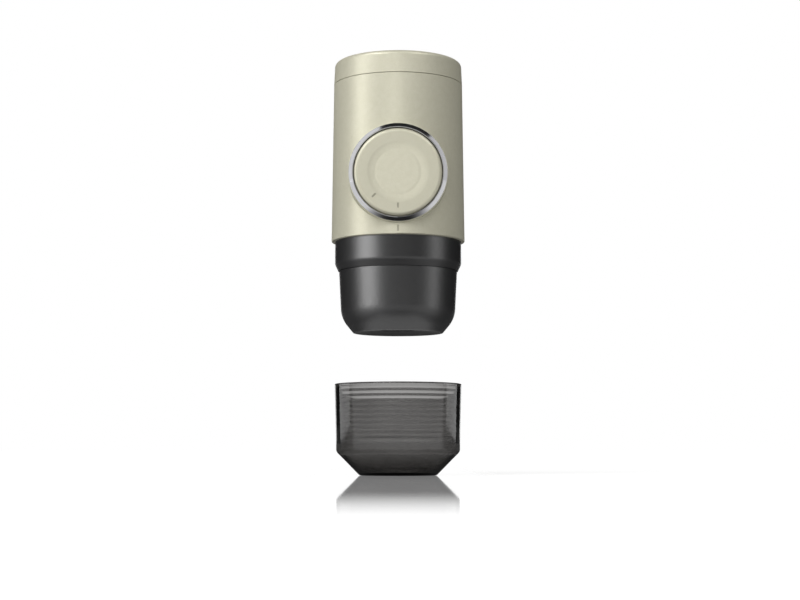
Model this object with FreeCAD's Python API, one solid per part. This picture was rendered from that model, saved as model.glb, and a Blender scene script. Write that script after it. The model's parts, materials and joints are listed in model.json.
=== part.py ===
# Handheld manual espresso maker: a piston pump worked by the fingers draws hot water from a tank
# and presses it down through a coffee capsule, and its own cup stows over the outlet.
#
# Millimetres. The origin is where the pump's axis crosses the maker's axis, in the middle of the
# hand's grip. +Z points to the tank's lid and -Y to the piston's knob. A height is along Z; the
# pump's pieces are drawn along their own axis, where a reach is the distance towards the knob.
import FreeCAD, Part
import math
import os

from FreeCAD import Vector

# ---- Clearances ----
RUN_GAP = 0.3  # between pieces that move past each other
SEAT_GAP = 0.1  # round a fixed piece that is dropped into another
LOCK_GAP = 0.5  # between a bayonet's lug and the tab that it turns behind
CUP_GAP = 0.5  # between the outlet and the cup stowed over it

# ---- Body shell ----
BODY_BOTTOM_RADIUS = 32.9
BODY_DRAFT = 1.0  # the shell is this much narrower at the lid's parting line
BODY_RISE = 48.9  # pump's axis up to the lid's parting line
SHELL_WALL = 2.2
SHELL_EDGE_ROUNDING = 0.5
MARK_LENGTH = 2.9
MARK_WIDTH = 0.8
MARK_DEPTH = 0.3
LEDGE_WIDTH = 3.0  # shelf that carries the tank
LEDGE_THICKNESS = 2.0
POST_RADIUS = 2.8
POST_HEIGHT = 10.0
POST_ANGLES = (10, 90, 170)

# ---- Knob boss on the shell, and the bezel round the knob ----
BOSS_STAND = 1.35  # the boss's face in front of the shell, at the pump's height
BOSS_EDGE_ROUNDING = 0.4
BOSS_FOOT_BLEND = 0.5
BEZEL_WIDTH = 2.1
BEZEL_CREST = 0.25  # its highest line, this far out from its inner edge
BEZEL_HEIGHT = 1.5  # how far the bezel stands in front of the boss
BEZEL_SEAT = 2.2  # how far it goes down the boss's bore
HOUSING_FLOOR = 3.0  # back wall of the knob's well

# ---- Knob ----
PISTON_STROKE = 17.0
KNOB_RADIUS = 21.2
KNOB_PROUD = 0.4  # the knob's face in front of the bezel, pressed in
KNOB_FACE = 3.2
KNOB_WALL = 1.6
INNER_ROUNDING = 1.0  # under the knob's face and under the lid
KNOB_RIM_ROUNDING = 2.0
DISH_RADIUS = 14.6
DISH_DEPTH = 0.9
LOCK_BAR_LENGTH = 2.4
LOCK_BAR_INSET = 0.4  # from the dish's edge
RETAINER_INSET = 1.8  # the retainer's edge inside the knob's wall
RETAINER_THICKNESS = 2.0

# ---- Plunger and return spring ----
PLUNGER_RADIUS = 6.92
PLUNGER_CLEARANCE = 0.08  # a running fit in the pump's bore
PLUNGER_HEAD_LIP = 2.0
PLUNGER_HEAD = 2.0
PLUNGER_END = -4.0  # reach of the plunger's inner end, pressed in
SEAL_GROOVE_WIDTH = 2.0
SEAL_GROOVE_DEPTH = 1.3
SEAL_SPACING = 4.0
SPRING_WIRE = 1.4
SPRING_TURNS = 4

# ---- Bayonets: three lugs turn behind three tabs ----
LUG_COUNT = 3
LUG_WIDTH_DEG = 30
LOCK_TURN_DEG = 45
LUG_THICKNESS = 2.0
TAB_THICKNESS = 1.7
LUG_HEIGHT = 1.2
LUG_OVERLAP = 0.4  # how far a lug or tab is sunk into the wall that carries it

# ---- Pump ----
BARREL_WALL = 3.0
BARREL_NOSE = 22.0  # reach of the barrel's open end
BARREL_FLANGE = 2.5
BARREL_FLANGE_INSET = 3.0  # the flange's edge inside the knob housing's
BARREL_END_WALL = 3.0
BORE_DEAD_LENGTH = 1.0
VALVE_OFFSET = 8.5  # valve column behind the maker's axis
VALVE_BOSS_RADIUS = 5.0
VALVE_CHAMBER_RADIUS = 3.1
VALVE_CHAMBER_LENGTH = 9.3
VALVE_SHARE = 0.6  # of the chamber's length that the valve takes
VALVE_BODY_SHARE = 0.65  # of the valve's flange
VALVE_WALL_SHARE = 0.3  # of the valve's flange
PASSAGE_RADIUS = 1.5

# ---- Water tank and its lid ----
TANK_LIFT = 1.5  # the tank's floor above the knob's boss
TANK_WALL = 1.6
TANK_FLOOR = 2.0
TANK_RIM_DROP = 0.6  # the tank's rim below the shell's
PORT_SEAL_THICKNESS = 1.2
LID_HEIGHT = 11.3
LID_WALL = 2.2
LID_DRAFT = 0.5
LID_EDGE_ROUNDING = 2.2
LID_GROOVE = 0.3  # parting line
LID_PLUG_WALL = 1.8
LID_TAB_DROP = 3.0  # lid's parting line down to the tank's tabs
GASKET_THICKNESS = 1.4

# ---- Base collar ----
COLLAR_STEP = 1.75  # the collar inside the shell's lower edge
COLLAR_DROP = 14.5  # shell's lower edge down to the collar's
COLLAR_WALL = 2.3
COLLAR_BEVEL_WIDTH = 1.6
COLLAR_BEVEL_HEIGHT = 3.4
COLLAR_FLANGE = 2.0
COLLAR_SPIGOT = 2.5  # how far the collar reaches up into the shell

# ---- Brew head, over the capsule ----
BREW_FLANGE = 2.5
BREW_DROP = 0.5  # the flange below the knob's housing
BREW_ROOF = 5.2  # the flange's top down to the capsule's chamber
BREW_SHOULDER = 2.0  # the head's body outside its nose
CAPSULE_RIM_RADIUS = 18.5
CAPSULE_MOUTH_RADIUS = 15.3  # the capsule's cone at its rim
CAPSULE_TOP_RADIUS = 12.3
CAPSULE_TOP_ROUNDING = 2.0
CAPSULE_HEIGHT = 28.0
CAPSULE_RIM_GAP = 0.4  # the capsule's rim, pinched between seal and plate
CAPSULE_SEAL_THICKNESS = 2.0
CAPSULE_SEAL_PROUD = 0.6
PIN_RADIUS = 1.0
PIN_LENGTH = 5.0
PIN_TIP = 2.0
PIN_CIRCLE = 7.0
PIN_SOCKET = 2.0

# ---- Outlet bowl, which turns and drops off to load a capsule ----
OUTLET_GAP = 0.2  # shadow line between collar and bowl
OUTLET_TAPER = 1.2  # the bowl's side, from its top in to its shoulder
OUTLET_SHOULDER_HEIGHT = 7.2
OUTLET_SHOULDER_ROUNDING = 14.0
OUTLET_FOOT_INSET = 5.9  # from the shoulder in to the foot
OUTLET_FOOT_LAND = 1.6
OUTLET_FOOT_ROUNDING = 0.8
OUTLET_DISH = 1.4  # the underside rises this far to the spout hole
SPOUT_HOLE_RADIUS = 8.0
SPOUT_FLOOR = 2.6
NECK_WALL = 1.6
NECK_LUG_HEIGHT = 5.0  # collar's lower edge up to the neck's lugs
NECK_LUG_DEPTH = 1.0
NECK_HEADROOM = 2.5  # under the heads of the base screws
NOZZLE_RADIUS = 4.4
NOZZLE_TIP_WALL = 1.6
NOZZLE_BORE_RADIUS = 2.0
NOZZLE_DROP = 2.0
NOZZLE_PLATE_RADIUS = 10.0
NOZZLE_PLATE = 1.6

# ---- Capsule tray and exit plate ----
TRAY_LIP_HEIGHT = 6.5  # tray's rim above the exit plate
TRAY_LIP_GAP = 1.9  # tray's rim below the brew head's body
TRAY_DEPTH = 5.5  # tray's body below the exit plate's seat
TRAY_CORNER = 2.0
PLATE_INSET = 1.0  # the exit plate's edge inside the brew head's nose
PLATE_THICKNESS = 1.5
PLATE_SEAT_HEIGHT = 14.3  # above the outlet's foot
FUNNEL_MOUTH_RADIUS = 15.0
FUNNEL_RADIUS = 3.0
PYRAMID_PITCH = 3.6
PYRAMID_BASE = 2.0
PYRAMID_TIP = 0.7
PYRAMID_HEIGHT = 0.9
PYRAMID_FIELD_RADIUS = 13.0
PLATE_HOLE_RADIUS = 0.6

# ---- Cup ----
CUP_DISTANCE = 25.0  # outlet's foot down to the cup's rim, as held to pour
CUP_WALL = 1.5
CUP_HEIGHT = 44.6
CUP_TAPER = 0.9  # from the rim in to the shoulder
CUP_SHOULDER_HEIGHT = 11.5
CUP_SHOULDER_ROUNDING = 3.0
CUP_FOOT_INSET = 11.4  # from the shoulder in to the foot
CUP_FOOT_ROUNDING = 1.6
CUP_FLOOR = 2.0
CUP_RIB_PITCH = 2.5
CUP_RIB_DEPTH = 0.3
CUP_LIP = 1.6  # plain band under the rim
CUP_RIM_ROUNDING = 0.65

# ---- Fasteners ----
SCREW_RADIUS = 1.1
SCREW_HEAD_RADIUS = 2.0
SCREW_HEAD = 1.6
DRIVE_RADIUS = 0.9
SMALL_SCREW_RADIUS = 0.9
SMALL_SCREW_HEAD_RADIUS = 1.7

# ---- Radii that follow ----
BODY_TOP_RADIUS = BODY_BOTTOM_RADIUS - BODY_DRAFT
SPIGOT_RADIUS = BODY_BOTTOM_RADIUS - SHELL_WALL - 2 * SEAT_GAP
COLLAR_RADIUS = BODY_BOTTOM_RADIUS - COLLAR_STEP
COLLAR_BORE_RADIUS = COLLAR_RADIUS - COLLAR_WALL
NECK_RADIUS = COLLAR_BORE_RADIUS - RUN_GAP - NECK_LUG_DEPTH
NECK_INNER_RADIUS = NECK_RADIUS - NECK_WALL
CUP_RADIUS = COLLAR_RADIUS
CUP_SHOULDER_RADIUS = CUP_RADIUS - CUP_TAPER
CUP_FOOT_RADIUS = CUP_SHOULDER_RADIUS - CUP_FOOT_INSET
OUTLET_TOP_RADIUS = CUP_RADIUS - CUP_WALL - CUP_GAP
OUTLET_SHOULDER_RADIUS = OUTLET_TOP_RADIUS - OUTLET_TAPER
OUTLET_FOOT_RADIUS = OUTLET_SHOULDER_RADIUS - OUTLET_FOOT_INSET
BREW_NOSE_RADIUS = CAPSULE_RIM_RADIUS + LOCK_GAP
BREW_BODY_RADIUS = BREW_NOSE_RADIUS + BREW_SHOULDER
POST_CIRCLE = (BREW_BODY_RADIUS + COLLAR_BORE_RADIUS) / 2
PLATE_RADIUS = BREW_NOSE_RADIUS - PLATE_INSET
BOSS_BORE = KNOB_RADIUS + RUN_GAP + LUG_HEIGHT + RUN_GAP
BOSS_RADIUS = KNOB_RADIUS + RUN_GAP + BEZEL_WIDTH + BOSS_EDGE_ROUNDING
LUG_RADIUS = BOSS_BORE - RUN_GAP
RETAINER_RADIUS = KNOB_RADIUS - KNOB_WALL - RETAINER_INSET
KNOB_SCREW_CIRCLE = RETAINER_RADIUS - SMALL_SCREW_HEAD_RADIUS - SMALL_SCREW_RADIUS
PLUNGER_HEAD_RADIUS = PLUNGER_RADIUS + PLUNGER_HEAD_LIP
BORE_RADIUS = PLUNGER_RADIUS + PLUNGER_CLEARANCE
BARREL_RADIUS = BORE_RADIUS + BARREL_WALL
BARREL_FLANGE_RADIUS = BOSS_RADIUS - BARREL_FLANGE_INSET
PUMP_SCREW_CIRCLE = (BARREL_RADIUS + BARREL_FLANGE_RADIUS) / 2
TANK_RADIUS = BODY_TOP_RADIUS - SHELL_WALL - SEAT_GAP
TANK_INNER_RADIUS = TANK_RADIUS - TANK_WALL
PLUG_RADIUS = TANK_INNER_RADIUS - LUG_HEIGHT - 2 * RUN_GAP
PLUG_INNER_RADIUS = PLUG_RADIUS - LID_PLUG_WALL

# ---- Heights that follow ----
BREW_FLANGE_TOP = -BOSS_RADIUS - BREW_DROP
BREW_FLANGE_BOTTOM = BREW_FLANGE_TOP - BREW_FLANGE
BODY_BOTTOM = BREW_FLANGE_BOTTOM - COLLAR_SPIGOT
COLLAR_FLANGE_BOTTOM = BREW_FLANGE_BOTTOM - COLLAR_FLANGE
COLLAR_BOTTOM = BODY_BOTTOM - COLLAR_DROP
OUTLET_TOP = COLLAR_BOTTOM - OUTLET_GAP
NECK_TOP = COLLAR_FLANGE_BOTTOM - SCREW_HEAD - NECK_HEADROOM
NECK_LUG_BOTTOM = COLLAR_BOTTOM + NECK_LUG_HEIGHT
BREW_CAVITY_TOP = BREW_FLANGE_TOP - BREW_ROOF
BREW_BOTTOM = BREW_CAVITY_TOP - CAPSULE_HEIGHT
SEAL_BOTTOM = BREW_BOTTOM - CAPSULE_SEAL_PROUD
PLATE_TOP = SEAL_BOTTOM - CAPSULE_RIM_GAP
PLATE_SEAT = PLATE_TOP - PLATE_THICKNESS
TRAY_RIM = PLATE_TOP + TRAY_LIP_HEIGHT
TRAY_BOTTOM = PLATE_SEAT - TRAY_DEPTH
OUTLET_BOTTOM = PLATE_SEAT - PLATE_SEAT_HEIGHT
CUP_RIM = OUTLET_BOTTOM - CUP_DISTANCE
CUP_BOTTOM = CUP_RIM - CUP_HEIGHT
CUP_RIB_SPAN = CUP_HEIGHT - CUP_SHOULDER_HEIGHT - CUP_LIP - CUP_SHOULDER_ROUNDING
CUP_RIB_COUNT = int(CUP_RIB_SPAN / CUP_RIB_PITCH)
TANK_FLOOR_HEIGHT = BOSS_RADIUS + TANK_LIFT
TANK_RIM = BODY_RISE - TANK_RIM_DROP
GASKET_TOP = TANK_RIM + GASKET_THICKNESS
LID_BOTTOM = BODY_RISE + LID_GROOVE
LID_TOP = BODY_RISE + LID_HEIGHT
LID_TAB_BOTTOM = BODY_RISE - LID_TAB_DROP - TAB_THICKNESS
PLUG_BOTTOM = LID_TAB_BOTTOM - LOCK_GAP - LUG_THICKNESS
VALVE_BOSS_BOTTOM = BREW_FLANGE_TOP + 2 * PORT_SEAL_THICKNESS
VALVE_BOSS_TOP = TANK_FLOOR_HEIGHT - PORT_SEAL_THICKNESS


def body_radius(height):
    """The shell's outer radius at a height: it narrows evenly towards the lid."""
    share = (height - BODY_BOTTOM) / (BODY_RISE - BODY_BOTTOM)
    return BODY_BOTTOM_RADIUS + share * (BODY_TOP_RADIUS - BODY_BOTTOM_RADIUS)


# ---- Reaches that follow, from the shell's front in to the pump ----
BOSS_REACH = body_radius(0) + BOSS_STAND
BEZEL_BACK = BOSS_REACH - BEZEL_SEAT
BEZEL_FRONT = BOSS_REACH + BEZEL_HEIGHT
KNOB_FRONT = BEZEL_FRONT + KNOB_PROUD
KNOB_BACK = KNOB_FRONT - KNOB_FACE
KNOB_LUG_FRONT = BEZEL_BACK - PISTON_STROKE - SEAT_GAP
KNOB_END = KNOB_LUG_FRONT - LUG_THICKNESS
HOUSING_FRONT = KNOB_LUG_FRONT + LOCK_GAP + TAB_THICKNESS
FLOOR_FRONT = KNOB_END - 2 * LOCK_GAP
FLOOR_BACK = FLOOR_FRONT - HOUSING_FLOOR
FLANGE_BACK = FLOOR_BACK - BARREL_FLANGE
HEAD_FRONT = KNOB_BACK - SEAT_GAP
HEAD_BACK = HEAD_FRONT - PLUNGER_HEAD
RETAINER_FRONT = HEAD_BACK - SEAT_GAP
RETAINER_BACK = RETAINER_FRONT - RETAINER_THICKNESS
BORE_END = PLUNGER_END - BORE_DEAD_LENGTH


# ---- Drawing helpers ----
def rounded_outline(corners):
    """A closed wire in the XZ plane through (radius, height, rounding) corners, with tangent arcs."""
    points = [Vector(corner[0], 0, corner[1]) for corner in corners]
    bends = []
    for index, here in enumerate(points):
        rounding = corners[index][2] if len(corners[index]) == 3 else 0
        if rounding == 0:
            bends.append((here, None, here))
            continue
        back = (points[index - 1] - here).normalize()
        ahead = (points[(index + 1) % len(points)] - here).normalize()
        half = back.getAngle(ahead) / 2
        run = rounding / math.tan(half)
        inset = rounding / math.sin(half) - rounding
        middle = (back + ahead).normalize()
        bends.append((here + back * run, here + middle * inset, here + ahead * run))
    edges = []
    for index, (start, middle, end) in enumerate(bends):
        if middle is not None:
            edges.append(Part.Arc(start, middle, end).toShape())
        following = bends[(index + 1) % len(bends)][0]
        if end.distanceToPoint(following) > 1e-6:
            edges.append(Part.LineSegment(end, following).toShape())
    return Part.Wire(edges)


def turned(corners, turn=360):
    """A solid turned about Z from (radius, height, rounding) corners."""
    face = Part.Face(rounded_outline(corners))
    return face.revolve(Vector(0, 0, 0), Vector(0, 0, 1), turn)


def ring(outer, inner, low, high):
    """A plain ring, or a disc where inner is 0."""
    return turned([(inner, low), (outer, low), (outer, high), (inner, high)])


def cylinder(radius, low, high, x=0, y=0):
    return Part.makeCylinder(radius, high - low, Vector(x, y, low))


def around(shape, count, start=0, turn=360):
    """Copies of shape, evenly spaced about Z, as a list."""
    copies = []
    for index in range(count):
        copy = shape.copy()
        copy.rotate(Vector(0, 0, 0), Vector(0, 0, 1), start + index * turn / count)
        copies.append(copy)
    return copies


def sectors(outer, inner, low, high, start):
    """The bayonet's lugs or tabs: LUG_COUNT sectors, the first centred on start degrees from +X."""
    corners = [(inner, low), (outer, low), (outer, high), (inner, high)]
    return around(turned(corners, LUG_WIDTH_DEG), LUG_COUNT, start - LUG_WIDTH_DEG / 2)


def on_circle(radius, angles):
    """The (x, y) places at these angles in degrees on a circle."""
    turns = [math.radians(angle) for angle in angles]
    return [(radius * math.cos(turn), radius * math.sin(turn)) for turn in turns]


def even_angles(count, start):
    return [start + index * 360 / count for index in range(count)]


def along_pump(shape):
    """Turns a piece drawn along +Z so that its reach points to -Y and its own Y points up."""
    turned_shape = shape.copy()
    turned_shape.rotate(Vector(0, 0, 0), Vector(1, 0, 0), 90)
    return turned_shape


def screw(radius, head_radius, under_head, tip, x, y):
    """A pan-head screw parallel to Z: under_head and tip are the heights of its shank's ends."""
    away = math.copysign(1, under_head - tip)
    head_top = under_head + away * SCREW_HEAD
    low, high = sorted((under_head, head_top))
    head = cylinder(head_radius, low, high, x, y)
    shank = cylinder(radius, min(under_head, tip), max(under_head, tip), x, y)
    socket_floor = head_top - away * SCREW_HEAD / 2
    low, high = sorted((socket_floor, head_top))
    return head.fuse(shank).cut(cylinder(DRIVE_RADIUS, low, high, x, y)).removeSplitter()


# Where the three bayonets' lugs stand before they are turned, and the tabs that hold them after.
LUG_START_DEG = 90
TAB_START_DEG = LUG_START_DEG + LOCK_TURN_DEG
PUMP_SCREW_ANGLES = even_angles(4, LUG_START_DEG / 2)
BETWEEN_LUGS_DEG = LUG_START_DEG - 180 / LUG_COUNT
KNOB_SCREW_ANGLES = even_angles(3, BETWEEN_LUGS_DEG)
PIN_ANGLES = even_angles(3, BETWEEN_LUGS_DEG)


# ---- Body ----
def body_shell():
    """Painted outer shell: a drafted tube with the knob's boss, the tank's ledge and screw posts."""
    wall = SHELL_WALL
    bottom, top = BODY_BOTTOM_RADIUS, BODY_TOP_RADIUS
    outside = turned([
        (0, BODY_BOTTOM), (bottom, BODY_BOTTOM, SHELL_EDGE_ROUNDING), (top, BODY_RISE), (0, BODY_RISE),
    ])
    boss = along_pump(cylinder(BOSS_RADIUS, HOUSING_FRONT, BOSS_REACH))
    outside = outside.fuse(boss)
    rim = [edge for edge in outside.Edges if is_boss_rim(edge)]
    outside = outside.makeFillet(BOSS_EDGE_ROUNDING, rim)
    foot = [edge for edge in outside.Edges if is_boss_foot(edge)]
    outside = outside.makeFillet(BOSS_FOOT_BLEND, foot)
    hollow = turned([
        (0, BODY_BOTTOM), (bottom - wall, BODY_BOTTOM), (top - wall, BODY_RISE), (0, BODY_RISE),
    ])
    shell = outside.cut(hollow).fuse([boss_sleeve(), tank_ledge(), *screw_posts()])
    shell = shell.cut([
        along_pump(cylinder(BOSS_BORE, HOUSING_FRONT, BOSS_REACH + BEZEL_HEIGHT)),
        alignment_mark(),
    ])
    return shell.removeSplitter()


def is_boss_rim(edge):
    """Whether an edge is the outer rim of the boss's front face."""
    box = edge.BoundBox
    return abs(box.YMin + BOSS_REACH) < 0.01 and abs(box.YMax + BOSS_REACH) < 0.01


def is_boss_foot(edge):
    """Whether an edge is where the boss's side meets the tapered shell."""
    box = edge.BoundBox
    wide = box.ZLength > BOSS_RADIUS
    return wide and box.YMax < 0 and box.YMin > -BODY_BOTTOM_RADIUS - 0.01 and box.YLength > BOSS_STAND


def boss_sleeve():
    """The boss goes on inside the shell, as far as the knob's housing."""
    sleeve = along_pump(ring(BOSS_RADIUS, BOSS_BORE, HOUSING_FRONT, BOSS_REACH))
    radius = body_radius(0) - SHELL_WALL / 2
    inside = cylinder(radius, -BOSS_RADIUS - 1, BOSS_RADIUS + 1)
    return sleeve.common(inside)


def tank_ledge():
    """The ring-shaped shelf under the tank."""
    outer = body_radius(TANK_FLOOR_HEIGHT) - SHELL_WALL / 2
    inner = TANK_RADIUS - LEDGE_WIDTH
    return ring(outer, inner, TANK_FLOOR_HEIGHT - LEDGE_THICKNESS, TANK_FLOOR_HEIGHT)


def screw_posts():
    """Posts for the base screws, each tied to the wall by a rib."""
    low, high = BREW_FLANGE_TOP, BREW_FLANGE_TOP + POST_HEIGHT
    wall_middle = body_radius(low) - SHELL_WALL / 2
    posts = []
    for angle, (x, y) in zip(POST_ANGLES, on_circle(POST_CIRCLE, POST_ANGLES)):
        rib = Part.makeBox(wall_middle - POST_CIRCLE, POST_RADIUS, high - low)
        rib.translate(Vector(POST_CIRCLE, -POST_RADIUS / 2, low))
        rib.rotate(Vector(0, 0, 0), Vector(0, 0, 1), angle)
        post = cylinder(POST_RADIUS, low, high, x, y).fuse(rib)
        posts.append(post.cut(cylinder(SCREW_RADIUS, low, high - SCREW_RADIUS, x, y)))
    return posts


def alignment_mark():
    """The short upright groove under the knob that its bars are turned to."""
    middle = (BODY_BOTTOM - BOSS_RADIUS) / 2
    front = body_radius(middle)
    mark = Part.makeBox(MARK_WIDTH, 2 * MARK_DEPTH, MARK_LENGTH)
    mark.translate(Vector(-MARK_WIDTH / 2, -front - MARK_DEPTH, middle - MARK_LENGTH / 2))
    return mark


def bezel_ring():
    """Polished ring pressed into the boss: its back edge stops the knob's lugs at full stroke."""
    inner = KNOB_RADIUS + RUN_GAP
    outer = inner + BEZEL_WIDTH
    crest = inner + BEZEL_CREST
    land = BEZEL_HEIGHT / 4
    return along_pump(turned([
        (inner, BEZEL_BACK), (BOSS_BORE, BEZEL_BACK), (BOSS_BORE, BOSS_REACH), (outer, BOSS_REACH),
        (outer, BOSS_REACH + land, land / 2), (crest, BEZEL_FRONT, BEZEL_CREST),
        (inner, BEZEL_FRONT - BEZEL_CREST),
    ]))


def piston_housing():
    """The back of the knob's well: a short cup with the lock's tabs, which the pump bolts to."""
    housing = turned([
        (BARREL_RADIUS + SEAT_GAP, FLOOR_BACK), (BOSS_RADIUS, FLOOR_BACK), (BOSS_RADIUS, HOUSING_FRONT),
        (BOSS_BORE, HOUSING_FRONT), (BOSS_BORE, FLOOR_FRONT), (BARREL_RADIUS + SEAT_GAP, FLOOR_FRONT),
    ])
    tab_back = HOUSING_FRONT - TAB_THICKNESS
    tabs = sectors(BOSS_BORE + LUG_OVERLAP, KNOB_RADIUS + RUN_GAP, tab_back, HOUSING_FRONT, TAB_START_DEG)
    housing = housing.fuse(tabs)
    for x, y in on_circle(PUMP_SCREW_CIRCLE, PUMP_SCREW_ANGLES):
        housing = housing.cut(cylinder(SCREW_RADIUS, FLOOR_BACK, FLOOR_FRONT, x, y))
    return along_pump(housing.removeSplitter())


# ---- Knob and plunger ----
def piston_knob():
    """The round knob: dished face with two lock bars, guide skirt, lugs and three screw posts."""
    inner = KNOB_RADIUS - KNOB_WALL
    dish_edge = DISH_DEPTH * 4
    knob = turned([
        (0, KNOB_BACK), (inner, KNOB_BACK, INNER_ROUNDING), (inner, KNOB_END), (KNOB_RADIUS, KNOB_END),
        (KNOB_RADIUS, KNOB_FRONT, KNOB_RIM_ROUNDING), (DISH_RADIUS, KNOB_FRONT, dish_edge),
        (DISH_RADIUS - dish_edge, KNOB_FRONT - DISH_DEPTH, dish_edge), (0, KNOB_FRONT - DISH_DEPTH),
    ])
    lugs = sectors(LUG_RADIUS, KNOB_RADIUS - LUG_OVERLAP, KNOB_END, KNOB_LUG_FRONT, LUG_START_DEG)
    posts = [
        cylinder(SMALL_SCREW_HEAD_RADIUS + SMALL_SCREW_RADIUS / 2, RETAINER_FRONT, KNOB_BACK, x, y)
        for x, y in on_circle(KNOB_SCREW_CIRCLE, KNOB_SCREW_ANGLES)
    ]
    knob = knob.fuse(lugs + posts)
    for x, y in on_circle(KNOB_SCREW_CIRCLE, KNOB_SCREW_ANGLES):
        knob = knob.cut(cylinder(SMALL_SCREW_RADIUS, RETAINER_FRONT, knob_screw_tip(), x, y))
    return along_pump(knob.cut(lock_bars()).removeSplitter())


def knob_screw_tip():
    return KNOB_BACK + KNOB_FACE / 4


def lock_bars():
    """Grooves in the knob's face: one stands at the body's mark unlocked, the other locked."""
    bar = Part.makeBox(LOCK_BAR_LENGTH, MARK_WIDTH, 2 * MARK_DEPTH)
    bar.translate(Vector(DISH_RADIUS + LOCK_BAR_INSET, -MARK_WIDTH / 2, KNOB_FRONT - MARK_DEPTH))
    return around(bar, 1, -90) + around(bar, 1, -90 - LOCK_TURN_DEG)


def knob_retainer():
    """The plate that holds the plunger's head in the knob, and that the spring presses on."""
    plate = ring(RETAINER_RADIUS, BORE_RADIUS + RUN_GAP, RETAINER_BACK, RETAINER_FRONT)
    for x, y in on_circle(KNOB_SCREW_CIRCLE, KNOB_SCREW_ANGLES):
        plate = plate.cut(cylinder(SMALL_SCREW_RADIUS, RETAINER_BACK, RETAINER_FRONT, x, y))
    return along_pump(plate)


def knob_screws():
    return along_pump(Part.makeCompound([
        screw(SMALL_SCREW_RADIUS, SMALL_SCREW_HEAD_RADIUS, RETAINER_BACK, knob_screw_tip(), x, y)
        for x, y in on_circle(KNOB_SCREW_CIRCLE, KNOB_SCREW_ANGLES)
    ]))


def seal_reaches():
    """The middles of the plunger's two seal grooves."""
    first = PLUNGER_END + SEAL_GROOVE_WIDTH
    return [first, first + SEAL_SPACING]


def plunger():
    """The pump's rod, with two seal grooves and the head that turns in the knob."""
    chamfer = SEAL_GROOVE_WIDTH / 4
    rod = turned([
        (0, PLUNGER_END), (PLUNGER_RADIUS - chamfer, PLUNGER_END),
        (PLUNGER_RADIUS, PLUNGER_END + chamfer), (PLUNGER_RADIUS, HEAD_BACK),
        (PLUNGER_HEAD_RADIUS, HEAD_BACK), (PLUNGER_HEAD_RADIUS, HEAD_FRONT), (0, HEAD_FRONT),
    ])
    half = SEAL_GROOVE_WIDTH / 2
    floor = PLUNGER_RADIUS - SEAL_GROOVE_DEPTH
    grooves = [ring(BORE_RADIUS, floor, reach - half, reach + half) for reach in seal_reaches()]
    return along_pump(rod.cut(grooves))


def plunger_seals():
    """Two rubber lip rings in the plunger's grooves, each with its lip towards the water."""
    floor = PLUNGER_RADIUS - SEAL_GROOVE_DEPTH
    crest = BORE_RADIUS - PLUNGER_CLEARANCE / 2
    half = SEAL_GROOVE_WIDTH / 2 - SEAT_GAP
    rings = [
        turned([
            (floor, reach - half), (floor, reach + half), (crest - SEAT_GAP, reach + half),
            (crest, reach - half), ((floor + crest) / 2, reach),
        ])
        for reach in seal_reaches()
    ]
    return along_pump(Part.makeCompound(rings))


def return_spring():
    """Coil round the pump's nose, from the housing's floor to the knob's retainer."""
    radius = BARREL_RADIUS + RUN_GAP + SPRING_WIRE
    low = FLOOR_FRONT + SPRING_WIRE / 2 + SEAT_GAP
    high = RETAINER_BACK - SPRING_WIRE / 2 - SEAT_GAP
    rise = (high - low) / (2 * SPRING_TURNS)
    sides = [1, -1] * SPRING_TURNS
    path = Part.Wire([half_turn(radius, low + index * rise, rise, side) for index, side in enumerate(sides)])
    section = Part.Wire(Part.makeCircle(SPRING_WIRE / 2, Vector(radius, 0, low), Vector(0, 1, 0)))
    return along_pump(path.makePipeShell([section], True, False))


def half_turn(radius, start, rise, side):
    """Half a turn of a coil as one tilted arc, level at both ends, so that it runs on smoothly."""
    middle = Vector(0, side * math.hypot(radius, rise / 2), start + rise / 2)
    ends = Vector(side * radius, 0, start), Vector(-side * radius, 0, start + rise)
    return Part.Arc(ends[0], middle, ends[1]).toShape()


# ---- Pump ----
def pump_barrel():
    """Pump body: bore, mounting flange, and a column with the inlet valve above, the outlet below."""
    solid = cylinder(BARREL_RADIUS, BORE_END - VALVE_OFFSET - BARREL_END_WALL / 2, BARREL_NOSE)
    solid = solid.fuse(cylinder(BARREL_FLANGE_RADIUS, FLANGE_BACK, FLOOR_BACK))
    for x, y in on_circle(PUMP_SCREW_CIRCLE, PUMP_SCREW_ANGLES):
        solid = solid.cut(cylinder(SCREW_RADIUS + SEAT_GAP, FLANGE_BACK, FLOOR_BACK, x, y))
    column = cylinder(VALVE_BOSS_RADIUS, VALVE_BOSS_BOTTOM, VALVE_BOSS_TOP, 0, VALVE_OFFSET)
    barrel = along_pump(solid).fuse(column)
    bore = along_pump(cylinder(BORE_RADIUS, BORE_END, BARREL_NOSE))
    link = along_pump(cylinder(2 * PASSAGE_RADIUS, -VALVE_OFFSET, BORE_END))
    chamber_low = VALVE_BOSS_BOTTOM + VALVE_CHAMBER_LENGTH
    chamber_high = VALVE_BOSS_TOP - VALVE_CHAMBER_LENGTH
    passage = cylinder(PASSAGE_RADIUS, chamber_low, chamber_high, 0, VALVE_OFFSET)
    lower = cylinder(VALVE_CHAMBER_RADIUS, VALVE_BOSS_BOTTOM, chamber_low, 0, VALVE_OFFSET)
    upper = cylinder(VALVE_CHAMBER_RADIUS, chamber_high, VALVE_BOSS_TOP, 0, VALVE_OFFSET)
    return barrel.cut([bore, link, passage, lower, upper]).removeSplitter()


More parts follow.
